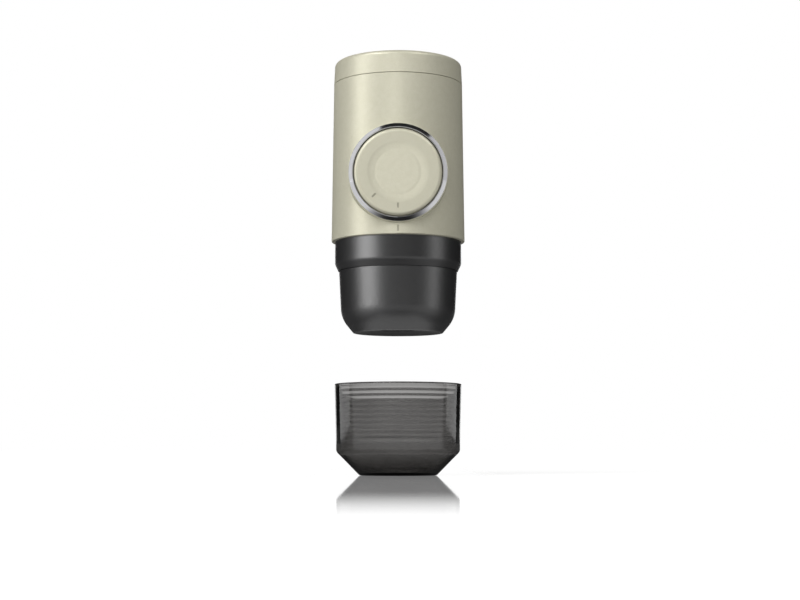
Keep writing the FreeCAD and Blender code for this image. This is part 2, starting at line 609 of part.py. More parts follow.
def duckbill(flange_top):
    """A rubber one-way valve in the valve column: its bill points down, the way the water goes."""
    flange = VALVE_CHAMBER_RADIUS - SEAT_GAP
    body = flange * VALVE_BODY_SHARE
    bill_bottom = flange_top - VALVE_CHAMBER_LENGTH * VALVE_SHARE
    wall = flange * VALVE_WALL_SHARE
    valve = turned([
        (body - wall, flange_top), (flange, flange_top), (flange, flange_top - wall),
        (body, flange_top - wall), (body, flange_top - 2 * body), (wall, bill_bottom),
        (0, bill_bottom), (0, bill_bottom + wall), (wall / 3, bill_bottom + wall),
        (body - wall, flange_top - 2 * body),
    ])
    valve.translate(Vector(0, VALVE_OFFSET, 0))
    return valve


def inlet_valve():
    return duckbill(VALVE_BOSS_TOP - TANK_FLOOR)


def outlet_valve():
    return duckbill(VALVE_BOSS_BOTTOM + VALVE_CHAMBER_LENGTH)


def pump_screws():
    return along_pump(Part.makeCompound([
        screw(SCREW_RADIUS, SCREW_HEAD_RADIUS, FLANGE_BACK, FLOOR_FRONT - SEAT_GAP, x, y)
        for x, y in on_circle(PUMP_SCREW_CIRCLE, PUMP_SCREW_ANGLES)
    ]))


# ---- Tank and lid ----
def water_tank():
    """Clear tank in the top of the shell, with the lid's tabs and a spigot to the inlet valve."""
    floor_top = TANK_FLOOR_HEIGHT + TANK_FLOOR
    tank = turned([
        (0, TANK_FLOOR_HEIGHT), (TANK_RADIUS, TANK_FLOOR_HEIGHT), (TANK_RADIUS, TANK_RIM),
        (TANK_INNER_RADIUS, TANK_RIM), (TANK_INNER_RADIUS, floor_top, TANK_FLOOR), (0, floor_top),
    ])
    tab_top = LID_TAB_BOTTOM + TAB_THICKNESS
    outer = TANK_INNER_RADIUS + LUG_OVERLAP
    tabs = sectors(outer, PLUG_RADIUS + RUN_GAP, LID_TAB_BOTTOM, tab_top, TAB_START_DEG)
    spigot_radius = VALVE_CHAMBER_RADIUS - SEAT_GAP
    spigot_bottom = VALVE_BOSS_TOP - TANK_FLOOR + SEAT_GAP
    spigot = cylinder(spigot_radius, spigot_bottom, TANK_FLOOR_HEIGHT, 0, VALVE_OFFSET)
    port = cylinder(PASSAGE_RADIUS, spigot_bottom, floor_top, 0, VALVE_OFFSET)
    return tank.fuse(tabs + [spigot]).cut(port).removeSplitter()


def port_seal(low, high):
    """A flat rubber ring on the valve column."""
    seal = ring(VALVE_BOSS_RADIUS, VALVE_CHAMBER_RADIUS, low, high)
    seal.translate(Vector(0, VALVE_OFFSET, 0))
    return seal


def tank_port_seal():
    return port_seal(VALVE_BOSS_TOP, TANK_FLOOR_HEIGHT)


def tank_lid():
    """Painted lid: drafted cap with a plug that locks under the tank's tabs."""
    under_top = LID_TOP - LID_WALL
    skirt_inner = BODY_TOP_RADIUS - SHELL_WALL
    lid = turned([
        (PLUG_RADIUS, PLUG_BOTTOM), (PLUG_RADIUS, GASKET_TOP), (skirt_inner, GASKET_TOP),
        (skirt_inner, LID_BOTTOM), (BODY_TOP_RADIUS, LID_BOTTOM),
        (BODY_TOP_RADIUS - LID_DRAFT, LID_TOP, LID_EDGE_ROUNDING), (0, LID_TOP), (0, under_top),
        (PLUG_INNER_RADIUS, under_top, INNER_ROUNDING), (PLUG_INNER_RADIUS, PLUG_BOTTOM),
    ])
    lug_radius = TANK_INNER_RADIUS - RUN_GAP
    lug_top = PLUG_BOTTOM + LUG_THICKNESS
    lugs = sectors(lug_radius, PLUG_RADIUS - LUG_OVERLAP, PLUG_BOTTOM, lug_top, LUG_START_DEG)
    return lid.fuse(lugs).removeSplitter()


def lid_gasket():
    """Flat rubber ring between the tank's rim and the lid."""
    gap = SEAT_GAP / 2
    return ring(TANK_RADIUS - gap, TANK_INNER_RADIUS, TANK_RIM + gap, GASKET_TOP - gap)


# ---- Base collar and brew head ----
def base_collar():
    """Black collar under the shell: bevelled skirt with the outlet's tabs, and the flange above."""
    top = BREW_FLANGE_BOTTOM
    flange_bottom = COLLAR_FLANGE_BOTTOM
    bevel_radius = COLLAR_RADIUS - COLLAR_BEVEL_WIDTH
    collar = turned([
        (COLLAR_BORE_RADIUS, COLLAR_BOTTOM), (bevel_radius, COLLAR_BOTTOM),
        (COLLAR_RADIUS, COLLAR_BOTTOM + COLLAR_BEVEL_HEIGHT, COLLAR_BEVEL_HEIGHT),
        (COLLAR_RADIUS, BODY_BOTTOM), (SPIGOT_RADIUS, BODY_BOTTOM), (SPIGOT_RADIUS, top),
        (BREW_BODY_RADIUS + SEAT_GAP, top), (BREW_BODY_RADIUS + SEAT_GAP, flange_bottom),
        (COLLAR_BORE_RADIUS, flange_bottom, SHELL_EDGE_ROUNDING),
    ])
    tab_top = NECK_LUG_BOTTOM - LOCK_GAP
    tab_low = tab_top - TAB_THICKNESS
    tabs = sectors(COLLAR_BORE_RADIUS + LUG_OVERLAP, NECK_RADIUS + RUN_GAP, tab_low, tab_top, TAB_START_DEG)
    collar = collar.fuse(tabs)
    for x, y in on_circle(POST_CIRCLE, POST_ANGLES):
        collar = collar.cut(cylinder(SCREW_RADIUS + SEAT_GAP, flange_bottom, top, x, y))
    return collar.removeSplitter()


def base_screws():
    """The screws that hold collar and brew head up to the shell's posts."""
    tip = BREW_FLANGE_TOP + POST_HEIGHT - 2 * SCREW_RADIUS
    return Part.makeCompound([
        screw(SCREW_RADIUS, SCREW_HEAD_RADIUS, COLLAR_FLANGE_BOTTOM, tip, x, y)
        for x, y in on_circle(POST_CIRCLE, POST_ANGLES)
    ])


def brew_head():
    """The capsule's chamber: a cone over the capsule, fed from the pump through the top."""
    nose_top = TRAY_RIM + TRAY_LIP_GAP
    head = turned([
        (CAPSULE_MOUTH_RADIUS, BREW_BOTTOM), (BREW_NOSE_RADIUS, BREW_BOTTOM),
        (BREW_NOSE_RADIUS, nose_top), (BREW_BODY_RADIUS, nose_top + BREW_SHOULDER),
        (BREW_BODY_RADIUS, BREW_FLANGE_BOTTOM), (SPIGOT_RADIUS, BREW_FLANGE_BOTTOM),
        (SPIGOT_RADIUS, BREW_FLANGE_TOP), (0, BREW_FLANGE_TOP), (0, BREW_CAVITY_TOP),
        (CAPSULE_TOP_RADIUS, BREW_CAVITY_TOP, CAPSULE_TOP_ROUNDING),
    ])
    spigot_top = VALVE_BOSS_BOTTOM + PORT_SEAL_THICKNESS
    spigot = cylinder(VALVE_CHAMBER_RADIUS - SEAT_GAP, BREW_FLANGE_TOP, spigot_top, 0, VALVE_OFFSET)
    seat_top = VALVE_BOSS_BOTTOM - PORT_SEAL_THICKNESS
    seat = cylinder(VALVE_BOSS_RADIUS, BREW_FLANGE_TOP, seat_top, 0, VALVE_OFFSET)
    port = cylinder(PASSAGE_RADIUS, BREW_CAVITY_TOP, spigot_top, 0, VALVE_OFFSET)
    groove = ring(*capsule_seal_radii(), BREW_BOTTOM, SEAL_BOTTOM + CAPSULE_SEAL_THICKNESS)
    sockets = [
        cylinder(PIN_RADIUS, BREW_CAVITY_TOP, BREW_CAVITY_TOP + PIN_SOCKET, x, y)
        for x, y in on_circle(PIN_CIRCLE, PIN_ANGLES)
    ]
    holes = [
        cylinder(SCREW_RADIUS + SEAT_GAP, BREW_FLANGE_BOTTOM, BREW_FLANGE_TOP, x, y)
        for x, y in on_circle(POST_CIRCLE, POST_ANGLES)
    ]
    return head.fuse([spigot, seat]).cut([port, groove] + sockets + holes).removeSplitter()


def capsule_seal_radii():
    """The capsule seal's outer and inner radii, in the middle of the brew head's lower face."""
    width = BREW_NOSE_RADIUS - CAPSULE_MOUTH_RADIUS
    return BREW_NOSE_RADIUS - width / 4, CAPSULE_MOUTH_RADIUS + width / 4


def capsule_seal():
    return ring(*capsule_seal_radii(), SEAL_BOTTOM, SEAL_BOTTOM + CAPSULE_SEAL_THICKNESS)


def brew_port_seal():
    return port_seal(VALVE_BOSS_BOTTOM - PORT_SEAL_THICKNESS, VALVE_BOSS_BOTTOM)


def piercing_pins():
    """Steel pins that pierce the capsule's top when the outlet is closed."""
    top = BREW_CAVITY_TOP + PIN_SOCKET
    tip = BREW_CAVITY_TOP - PIN_LENGTH
    pin = turned([(0, tip), (PIN_RADIUS, tip + PIN_TIP), (PIN_RADIUS, top), (0, top)])
    pins = []
    for x, y in on_circle(PIN_CIRCLE, PIN_ANGLES):
        copy = pin.copy()
        copy.translate(Vector(x, y, 0))
        pins.append(copy)
    return Part.makeCompound(pins)


# ---- Outlet ----
def outlet_bowl():
    """Black bowl: rounded to a dished underside with the spout hole, and a neck with three lugs."""
    foot = OUTLET_FOOT_RADIUS
    floor_bottom = OUTLET_BOTTOM + OUTLET_DISH
    floor_top = floor_bottom + SPOUT_FLOOR
    pocket = TRAY_BOTTOM - RUN_GAP
    inner = NECK_INNER_RADIUS
    bowl = turned([
        (SPOUT_HOLE_RADIUS, floor_bottom), (foot - OUTLET_FOOT_LAND, OUTLET_BOTTOM),
        (foot, OUTLET_BOTTOM, OUTLET_FOOT_ROUNDING),
        (OUTLET_SHOULDER_RADIUS, OUTLET_BOTTOM + OUTLET_SHOULDER_HEIGHT, OUTLET_SHOULDER_ROUNDING),
        (OUTLET_TOP_RADIUS, OUTLET_TOP), (NECK_RADIUS, OUTLET_TOP), (NECK_RADIUS, NECK_TOP),
        (inner, NECK_TOP), (inner, pocket, TRAY_CORNER + RUN_GAP), (NOZZLE_PLATE_RADIUS + SEAT_GAP, pocket),
        (NOZZLE_PLATE_RADIUS + SEAT_GAP, floor_top), (SPOUT_HOLE_RADIUS, floor_top),
    ])
    lugs = sectors(
        COLLAR_BORE_RADIUS - RUN_GAP, NECK_RADIUS - LUG_OVERLAP,
        NECK_LUG_BOTTOM, NECK_LUG_BOTTOM + LUG_THICKNESS, LUG_START_DEG,
    )
    return bowl.fuse(lugs).removeSplitter()


def spout_nozzle():
    """The nozzle recessed in the spout hole, and the plate that carries it."""
    plate_bottom = OUTLET_BOTTOM + OUTLET_DISH + SPOUT_FLOOR
    plate_top = plate_bottom + NOZZLE_PLATE
    tip = plate_bottom - NOZZLE_DROP
    return turned([
        (NOZZLE_BORE_RADIUS, tip), (NOZZLE_BORE_RADIUS + NOZZLE_TIP_WALL, tip), (NOZZLE_RADIUS, plate_bottom),
        (NOZZLE_PLATE_RADIUS, plate_bottom), (NOZZLE_PLATE_RADIUS, plate_top),
        (NOZZLE_BORE_RADIUS, plate_top),
    ])


def capsule_tray():
    """The tray that carries the exit plate and funnels the coffee to the nozzle."""
    outer = NECK_INNER_RADIUS - RUN_GAP
    rim_inner = BREW_NOSE_RADIUS + LOCK_GAP
    rim_outer = (rim_inner + outer) / 2
    return turned([
        (FUNNEL_RADIUS, TRAY_BOTTOM), (outer, TRAY_BOTTOM, TRAY_CORNER), (outer, PLATE_TOP),
        (rim_outer, TRAY_RIM), (rim_inner, TRAY_RIM), (rim_inner, PLATE_TOP),
        (PLATE_RADIUS + SEAT_GAP, PLATE_TOP), (PLATE_RADIUS + SEAT_GAP, PLATE_SEAT),
        (FUNNEL_MOUTH_RADIUS, PLATE_SEAT), (FUNNEL_RADIUS, TRAY_BOTTOM + FUNNEL_RADIUS),
    ])


def exit_plate():
    """Steel plate whose pyramids burst the capsule's foil and whose holes let the coffee through."""
    plate = ring(PLATE_RADIUS, 0, PLATE_SEAT, PLATE_TOP)
    steps = int(PYRAMID_FIELD_RADIUS / PYRAMID_PITCH)
    grid = [index * PYRAMID_PITCH for index in range(-steps, steps + 1)]
    places = [(x, y) for x in grid for y in grid if math.hypot(x, y) < PYRAMID_FIELD_RADIUS]
    half = PYRAMID_PITCH / 2
    holes = [
        cylinder(PLATE_HOLE_RADIUS, PLATE_SEAT, PLATE_TOP, x + half, y + half)
        for x, y in places if math.hypot(x + half, y + half) < PYRAMID_FIELD_RADIUS
    ]
    return plate.fuse([pyramid(x, y) for x, y in places]).cut(holes)


def pyramid(x, y):
    """A blunt four-sided pyramid on the exit plate."""
    base, tip = PYRAMID_BASE / 2, PYRAMID_TIP / 2
    wedge = Part.makeWedge(-base, 0, -base, -tip, -tip, base, PYRAMID_HEIGHT, base, tip, tip)
    wedge.rotate(Vector(0, 0, 0), Vector(1, 0, 0), 90)
    wedge.translate(Vector(x, y, PLATE_TOP))
    return wedge


# ---- Cup ----
def cup():
    """Smoked clear cup, smooth outside and ribbed inside, wide enough to stow over the outlet."""
    shoulder = CUP_BOTTOM + CUP_SHOULDER_HEIGHT
    floor = CUP_BOTTOM + CUP_FLOOR
    return turned([
        (0, CUP_BOTTOM), (CUP_FOOT_RADIUS, CUP_BOTTOM, CUP_FOOT_ROUNDING),
        (CUP_SHOULDER_RADIUS, shoulder, CUP_SHOULDER_ROUNDING), (CUP_RADIUS, CUP_RIM, CUP_RIM_ROUNDING),
        (CUP_RADIUS - CUP_WALL, CUP_RIM, CUP_RIM_ROUNDING), *cup_ribs(),
        (CUP_SHOULDER_RADIUS - CUP_WALL, shoulder, CUP_SHOULDER_ROUNDING),
        (CUP_FOOT_RADIUS - CUP_WALL / 2, floor, CUP_FOOT_ROUNDING), (0, floor),
    ])


def cup_bore_radius(height):
    """The cup's inner radius between its shoulder and its rim, at the crests of the ribs."""
    low = CUP_BOTTOM + CUP_SHOULDER_HEIGHT
    share = (height - low) / (CUP_RIM - low)
    return CUP_SHOULDER_RADIUS - CUP_WALL + share * (CUP_RADIUS - CUP_SHOULDER_RADIUS)


def cup_ribs():
    """Corners of the ribs inside the cup, from the top one down: grooves with crests between them."""
    corners = []
    for index in range(CUP_RIB_COUNT):
        crest = CUP_RIM - CUP_LIP - index * CUP_RIB_PITCH
        groove = crest - CUP_RIB_PITCH / 2
        corners.append((cup_bore_radius(crest), crest))
        corners.append((cup_bore_radius(groove) + CUP_RIB_DEPTH, groove))
    last = CUP_RIM - CUP_LIP - CUP_RIB_COUNT * CUP_RIB_PITCH
    return corners + [(cup_bore_radius(last), last)]


PIECES = (
    body_shell, bezel_ring, piston_housing, piston_knob, knob_retainer, knob_screws, plunger,
    plunger_seals, return_spring, pump_barrel, inlet_valve, outlet_valve, pump_screws, water_tank,
    tank_port_seal, tank_lid, lid_gasket, base_collar, base_screws, brew_head, brew_port_seal,
    capsule_seal, piercing_pins, outlet_bowl, spout_nozzle, capsule_tray, exit_plate, cup,
)


def main():
    os.makedirs("parts", exist_ok=True)
    for piece in PIECES:
        piece().exportStep(f"parts/{piece.__name__}.step")


main()
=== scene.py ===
import json
import math

import bpy
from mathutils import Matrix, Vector


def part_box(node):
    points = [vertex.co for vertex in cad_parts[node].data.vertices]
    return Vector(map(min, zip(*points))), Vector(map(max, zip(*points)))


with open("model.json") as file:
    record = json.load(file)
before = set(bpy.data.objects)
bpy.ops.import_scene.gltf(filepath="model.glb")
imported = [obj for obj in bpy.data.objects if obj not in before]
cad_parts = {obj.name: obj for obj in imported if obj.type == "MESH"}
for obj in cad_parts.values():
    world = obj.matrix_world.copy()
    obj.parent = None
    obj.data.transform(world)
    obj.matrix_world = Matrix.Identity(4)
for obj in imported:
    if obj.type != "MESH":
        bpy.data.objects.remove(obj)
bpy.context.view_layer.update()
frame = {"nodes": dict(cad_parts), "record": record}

# The looks of a handheld espresso maker. Metres, in the CAD model's own frame: +Z points to the
# tank's lid, and the knob faces -Y, which is also where the camera stands.
nodes = frame["nodes"]
CUP_LOW, CUP_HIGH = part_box("cup")
FLOOR_Z = CUP_LOW.z - 0.00005

# ---- Camera: the photograph is taken from in front, a little below the maker ----
IMAGE_WIDTH = 800
SENSOR_WIDTH = 36.0
FOCAL_PIXELS = 1616.0
CAMERA_PLACE = (0.00094, -0.794, -0.132)
CAMERA_PITCH = math.radians(5.32)

# A pair of numbers below holds the two ends of a change, or of a groove.

# ---- Places on the solids that the paint follows ----
# Distances from the knob's axis.
DISH_BEND = (0.0095, 0.0150)
RIM_BAND_START = (0.0120, 0.0155)
RIM_BAND_END = (0.0188, 0.0198)
LOCK_BAR = (0.0150, 0.0174)
BODY_MARK = (0.02515, 0.02805)
# What is there.
DISH_BEND_DEPTH = 0.0006
RIM_SHADE = 0.45
LOCK_BAR_ANGLES = (0.0, math.radians(-45))
MARK_HALF_WIDTH = 0.0004
MARK_EDGE = 0.0001  # half the width of the soft edge of a groove's painted shade
# How much shade is painted into the alignment grooves.
GROOVE_PAINTED_SHADE = 0.45
FRONT_Y = (-0.031, -0.030)  # the grooves are on the front, so their painted shade ends behind it

# ---- The table: its glow for the camera, its mirror image of the cup, and its painted glow in gloss ----
TABLE_SIDE = 60.0
GLOW_DISTANCE = (0.3, 1.2)
GLOW = (0.66, 0.80)
MIRROR_DISTANCE = (0.30, 0.55)
MIRROR_HALF_WIDTH = (0.035, 0.060)
MIRROR_INDEX = 1.05
MIRROR_FRESNEL = (0.12, 0.55)
MIRROR_MOST = 0.85
# The painted dark flag in the table's glow for gloss: its centre, and the distances over which it turns
# pale.
FLAG_PLACE = (0, -0.09, 0)
FLAG_RADIUS = (0.05, 0.20)
FLAG_TO_TABLE = (0.02, 0.8)
BACK_Y = (-0.06, 0.02)
BACK_SHARE = 0.1

# ---- The world: its strengths, and the directions between which they change ----
SOFT_LIGHT = 0.30
STUDIO_FRONT, STUDIO_DARK = 0.30, 0.02
HORIZON_Z = (0.042, 0.060)
BEHIND_Y = (0.90, 0.95)
IN_FRONT_Y = (-0.97, -0.80)


# ---- Node helpers ----
def add(tree, kind, inputs=None, **settings):
    """A shader node. An input, by its name or number, takes a value or another node's output."""
    node = tree.nodes.new("ShaderNode" + kind)
    for name, value in settings.items():
        setattr(node, name, value)
    for name, value in (inputs or {}).items():
        socket = node.inputs[name]
        if isinstance(value, bpy.types.NodeSocket):
            tree.links.new(value, socket)
        else:
            socket.default_value = value
    return node


def math_node(tree, operation, first, second=0.0, clamp=False):
    node = add(tree, "Math", {0: first, 1: second}, operation=operation, use_clamp=clamp)
    return node.outputs[0]


def smooth_step(tree, value, low, high, at_low=0.0, at_high=1.0):
    """at_low below low, at_high above high, and an eased change between."""
    node = add(tree, "MapRange", {
        "Value": value, "From Min": low, "From Max": high, "To Min": at_low, "To Max": at_high,
    }, interpolation_type="SMOOTHSTEP")
    return node.outputs["Result"]


def noise(tree, coords, size, detail=2.0, roughness=0.5):
    """Noise with features about size metres wide, from 0 to 1."""
    node = add(tree, "TexNoise", {
        "Vector": coords, "Scale": 1 / size, "Detail": detail, "Roughness": roughness,
    })
    return node.outputs["Fac"]


def mix_colour(tree, share, first, second):
    return add(tree, "Mix", {0: share, 6: first, 7: second}, data_type="RGBA").outputs[2]


def linear(red, green, blue):
    """A colour written as in the photograph, 0 to 255, as the shader's own linear one."""
    values = []
    for level in (red, green, blue):
        level /= 255
        values.append(level / 12.92 if level <= 0.04045 else ((level + 0.055) / 1.055) ** 2.4)
    return (*values, 1.0)


def new_material(name):
    material = bpy.data.materials.new(name)
    material.use_nodes = True
    tree = material.node_tree
    shader = tree.nodes["Principled BSDF"]
    coords = add(tree, "TexCoord").outputs["Object"]
    return material, tree, shader, coords


def set_inputs(shader, **values):
    for name, value in values.items():
        shader.inputs[name.replace("_", " ")].default_value = value


def bump(tree, shader, height, distance, strength=1.0):
    """Grain added to whatever shape the shader's normal already has."""
    node = add(tree, "Bump", {"Height": height, "Distance": distance, "Strength": strength})
    if shader.inputs["Normal"].links:
        tree.links.new(shader.inputs["Normal"].links[0].from_socket, node.inputs["Normal"])
    tree.links.new(node.outputs["Normal"], shader.inputs["Normal"])


def product(tree, first, *others):
    for other in others:
        first = math_node(tree, "MULTIPLY", first, other)
    return first


def distance_from_y_axis(tree, coords):
    axes = add(tree, "SeparateXYZ", {0: coords}).outputs
    flat = add(tree, "CombineXYZ", {"X": axes["X"], "Z": axes["Z"]}).outputs[0]
    return add(tree, "VectorMath", {0: flat}, operation="LENGTH").outputs["Value"]


def seen_through(tree, path):
    """1 for the camera, also through clear plastic."""
    return math_node(tree, "MAXIMUM", path.outputs["Is Camera Ray"], path.outputs["Is Transmission Ray"])


# ---- Finishes ----
def groove(tree, coords, angle, start, end):
    """1 where shade is painted into an alignment groove that runs out from the knob's axis at this angle
    on the front.
    """
    turn = add(tree, "VectorRotate", {"Vector": coords, "Angle": angle}, rotation_type="Y_AXIS")
    axes = add(tree, "SeparateXYZ", {0: turn.outputs[0]}).outputs
    across = math_node(tree, "ABSOLUTE", axes["X"])
    low, high = MARK_HALF_WIDTH - MARK_EDGE, MARK_HALF_WIDTH + MARK_EDGE
    narrow = smooth_step(tree, across, low, high, 1.0, 0.0)
    facing = smooth_step(tree, axes["Y"], *FRONT_Y, 1.0, 0.0)
    along = math_node(tree, "MULTIPLY", axes["Z"], -1.0)
    started = smooth_step(tree, along, start - MARK_EDGE, start + MARK_EDGE)
    unended = smooth_step(tree, along, end - MARK_EDGE, end + MARK_EDGE, 1.0, 0.0)
    return product(tree, narrow, facing, started, unended)


def shell_paint(name, on_knob=False):
    """Pearl beige paint: faint clouds, fine flecks, a slightly grainy, soft gloss, and painted shade in
    the alignment grooves on its front.
    """
    material, tree, shader, coords = new_material(name)
    clouds = noise(tree, coords, 0.0025, detail=4.0, roughness=0.6)
    flecks = noise(tree, coords, 0.00035, detail=1.0)
    cloudy = smooth_step(tree, clouds, 0.35, 0.65)
    base = mix_colour(tree, cloudy, linear(213, 210, 188), linear(216, 213, 192))
    dark = smooth_step(tree, flecks, 0.30, 0.42, 0.10, 0.0)
    base = mix_colour(tree, dark, base, linear(150, 143, 118))
    light = smooth_step(tree, flecks, 0.60, 0.74, 0.0, 0.16)
    base = mix_colour(tree, light, base, linear(240, 238, 222))
    if on_knob:
        # The paint fills the bend round the knob's dish, and so softens it. The rim is darker.
        radius = distance_from_y_axis(tree, coords)
        bump(tree, shader, smooth_step(tree, radius, *DISH_BEND, DISH_BEND_DEPTH, 0.0), 1.0)
        rim_in = smooth_step(tree, radius, *RIM_BAND_START)
        rim_out = smooth_step(tree, radius, *RIM_BAND_END, RIM_SHADE, 0.0)
        base = mix_colour(tree, product(tree, rim_in, rim_out), base, linear(190, 187, 167))
    # Painted shade: the body's alignment groove and the knob's lock bars are darkened towards a dark
    # olive.
    shaded_grooves = groove(tree, coords, 0.0, *BODY_MARK)
    for angle in LOCK_BAR_ANGLES:
        shaded_grooves = math_node(tree, "MAXIMUM", shaded_grooves, groove(tree, coords, angle, *LOCK_BAR))
    base = mix_colour(tree, product(tree, shaded_grooves, GROOVE_PAINTED_SHADE), base, linear(96, 90, 72))
    tree.links.new(base, shader.inputs["Base Color"])
    tree.links.new(smooth_step(tree, clouds, 0.3, 0.7, 0.415, 0.425), shader.inputs["Roughness"])
    set_inputs(shader, Metallic=0.3, Specular_IOR_Level=0.5)
    bump(tree, shader, flecks, 0.00003, 0.25)
    return material


def bezel_metal():
    """Polished ring with faint smears in its gloss and tone."""
    material, tree, shader, coords = new_material("bezel_metal")
    smears = noise(tree, coords, 0.004, detail=3.0)
    tree.links.new(smooth_step(tree, smears, 0.3, 0.7, 0.09, 0.14), shader.inputs["Roughness"])
    base = mix_colour(tree, smears, linear(214, 214, 218), linear(226, 226, 228))
    tree.links.new(base, shader.inputs["Base Color"])
    set_inputs(shader, Metallic=1.0)
    return material


def satin_plastic(name, dark, light, rough, specular):
    """Moulded plastic with a fine spark-eroded grain. Its roughness varies about rough."""
    material, tree, shader, coords = new_material(name)
    grain = noise(tree, coords, 0.0004, detail=2.0, roughness=0.6)
    clouds = noise(tree, coords, 0.006, detail=3.0)
    tree.links.new(mix_colour(tree, clouds, dark, light), shader.inputs["Base Color"])
    spread = 0.10
    level = math_node(tree, "ADD", product(tree, grain, spread), rough - spread / 2)
    tree.links.new(level, shader.inputs["Roughness"])
    set_inputs(shader, Specular_IOR_Level=specular)
    bump(tree, shader, grain, 0.00005, 0.8)
    return material


def brushed_steel():
    material, tree, shader, coords = new_material("steel")
    stretched = add(tree, "Mapping", {"Vector": coords, "Scale": (1.0, 1.0, 12.0)})
    lines = noise(tree, stretched.outputs["Vector"], 0.0012, detail=3.0)
    base = mix_colour(tree, lines, linear(188, 188, 190), linear(214, 214, 214))
    tree.links.new(base, shader.inputs["Base Color"])
    tree.links.new(smooth_step(tree, lines, 0.3, 0.7, 0.22, 0.34), shader.inputs["Roughness"])
    set_inputs(shader, Metallic=1.0)
    return material


def silicone():
    material, tree, shader, coords = new_material("rubber")
    dust = noise(tree, coords, 0.0015, detail=4.0)
    base = mix_colour(tree, dust, linear(58, 57, 56), linear(74, 73, 71))
    tree.links.new(base, shader.inputs["Base Color"])
    tree.links.new(smooth_step(tree, dust, 0.3, 0.7, 0.5, 0.66), shader.inputs["Roughness"])
    return material


def clear_plastic(name, tint, rough, depth_colour, density):
    """See-through plastic: its wall darkens with the way that the light goes in it."""
    material, tree, shader, coords = new_material(name)
    clouds = noise(tree, coords, 0.008, detail=2.0)
    level = smooth_step(tree, clouds, 0.3, 0.7, rough * 0.7, rough * 1.3)
    tree.links.new(level, shader.inputs["Roughness"])
    set_inputs(shader, Base_Color=tint, Transmission_Weight=1.0, IOR=1.49)
    volume = add(tree, "VolumeAbsorption", {"Color": depth_colour, "Density": density})
    tree.links.new(volume.outputs[0], tree.nodes["Material Output"].inputs["Volume"])
    return material


BLACK = (linear(26, 26, 27), linear(31, 31, 32))
DARK_GREY = (linear(98, 98, 100), linear(108, 108, 110))
FINISHES = {
    "shell_paint": shell_paint("shell_paint"),
    "bezel_metal": bezel_metal(),
    "black_plastic": satin_plastic("black_plastic", *BLACK, rough=0.38, specular=1.0),
    "inner_plastic": satin_plastic("inner_plastic", *DARK_GREY, rough=0.5, specular=0.5),
    "steel": brushed_steel(),
    "rubber": silicone(),
    "tank_clear": clear_plastic("tank_clear", (0.95, 0.96, 0.97, 1), 0.06, (0.8, 0.86, 0.9, 1), 60.0),
    "cup_smoke": clear_plastic("cup_smoke", (0.9, 0.9, 0.9, 1), 0.06, (0.30, 0.29, 0.28, 1), 1120.0),
}

SLOT_OF = {part["node"]: part["material_slot"] for part in frame["record"]["subparts"]}
for name, piece in nodes.items():
    for material_slot in piece.material_slots:
        material_slot.material = FINISHES[SLOT_OF[name]]
for material_slot in nodes["piston_knob"].material_slots:
    material_slot.material = shell_paint("knob_paint", on_knob=True)


# ---- Stage ----
LAMP_AIM = Vector((0, 0, (CUP_HIGH.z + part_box("tank_lid")[1].z) / 2))


def lit_group(name, slots):
    """The pieces of these material slots, as a group that a lamp can be kept to."""
    group = bpy.data.collections.new(name)
    for node, slot in SLOT_OF.items():
        if slot in slots:
            group.objects.link(nodes[node])
    return group


def table_seen(tree, shader, coords, path):
    """What the camera sees: a pale table with shadows, and the cup's mirror image near it."""
    away = add(tree, "VectorMath", {0: coords}, operation="LENGTH").outputs["Value"]
    glow = product(tree, smooth_step(tree, away, *GLOW_DISTANCE, *GLOW), seen_through(tree, path))
    tree.links.new(glow, shader.inputs["Emission Strength"])
    mirror = add(tree, "BsdfGlossy", {"Color": (1, 1, 1, 1), "Roughness": 0.03})
    fresnel = add(tree, "Fresnel", {"IOR": MIRROR_INDEX}).outputs[0]
    grazing = smooth_step(tree, fresnel, *MIRROR_FRESNEL, 0.0, MIRROR_MOST)
    sideways = math_node(tree, "ABSOLUTE", add(tree, "SeparateXYZ", {0: coords}).outputs["X"])
    in_strip = smooth_step(tree, sideways, *MIRROR_HALF_WIDTH, 1.0, 0.0)
    close = smooth_step(tree, away, *MIRROR_DISTANCE, 1.0, 0.0)
    share = product(tree, close, in_strip, grazing)
    return add(tree, "MixShader", {0: share, 1: shader.outputs[0], 2: mirror.outputs[0]})


def table_in_gloss(tree, coords):
    """A painted glow that only gloss sees: pale round a painted dark flag in front of the maker, and dim
    behind.
    """
    from_flag = add(tree, "VectorMath", {0: coords, 1: FLAG_PLACE}, operation="DISTANCE")
    round_flag = smooth_step(tree, from_flag.outputs["Value"], *FLAG_RADIUS, *FLAG_TO_TABLE)
    depth = add(tree, "SeparateXYZ", {0: coords}).outputs["Y"]
    to_back = smooth_step(tree, depth, *BACK_Y, 1.0, BACK_SHARE)
    strength = product(tree, round_flag, to_back)
    return add(tree, "Emission", {"Color": (1, 1, 1, 1), "Strength": strength})


def make_floor():
    """White table that fades into the background, with a mirror image of the cup."""
    bpy.ops.mesh.primitive_plane_add(size=TABLE_SIDE, location=(0, 0, FLOOR_Z))
    floor = bpy.context.object
    floor.name = "table"
    material, tree, shader, coords = new_material("table_white")
    path = add(tree, "LightPath")
    set_inputs(shader, Base_Color=(0.8, 0.8, 0.8, 1), Roughness=0.9, Specular_IOR_Level=0.0)
    set_inputs(shader, Emission_Color=(1, 1, 1, 1))
    seen = table_seen(tree, shader, coords, path)
    in_gloss = table_in_gloss(tree, coords)
    glossy, through = path.outputs["Is Glossy Ray"], path.outputs["Is Transmission Ray"]
    reflected = math_node(tree, "SUBTRACT", glossy, through, clamp=True)
    both = add(tree, "MixShader", {0: reflected, 1: seen.outputs[0], 2: in_gloss.outputs[0]})
    tree.links.new(both.outputs[0], tree.nodes["Material Output"].inputs["Surface"])
    floor.data.materials.append(material)
    return floor


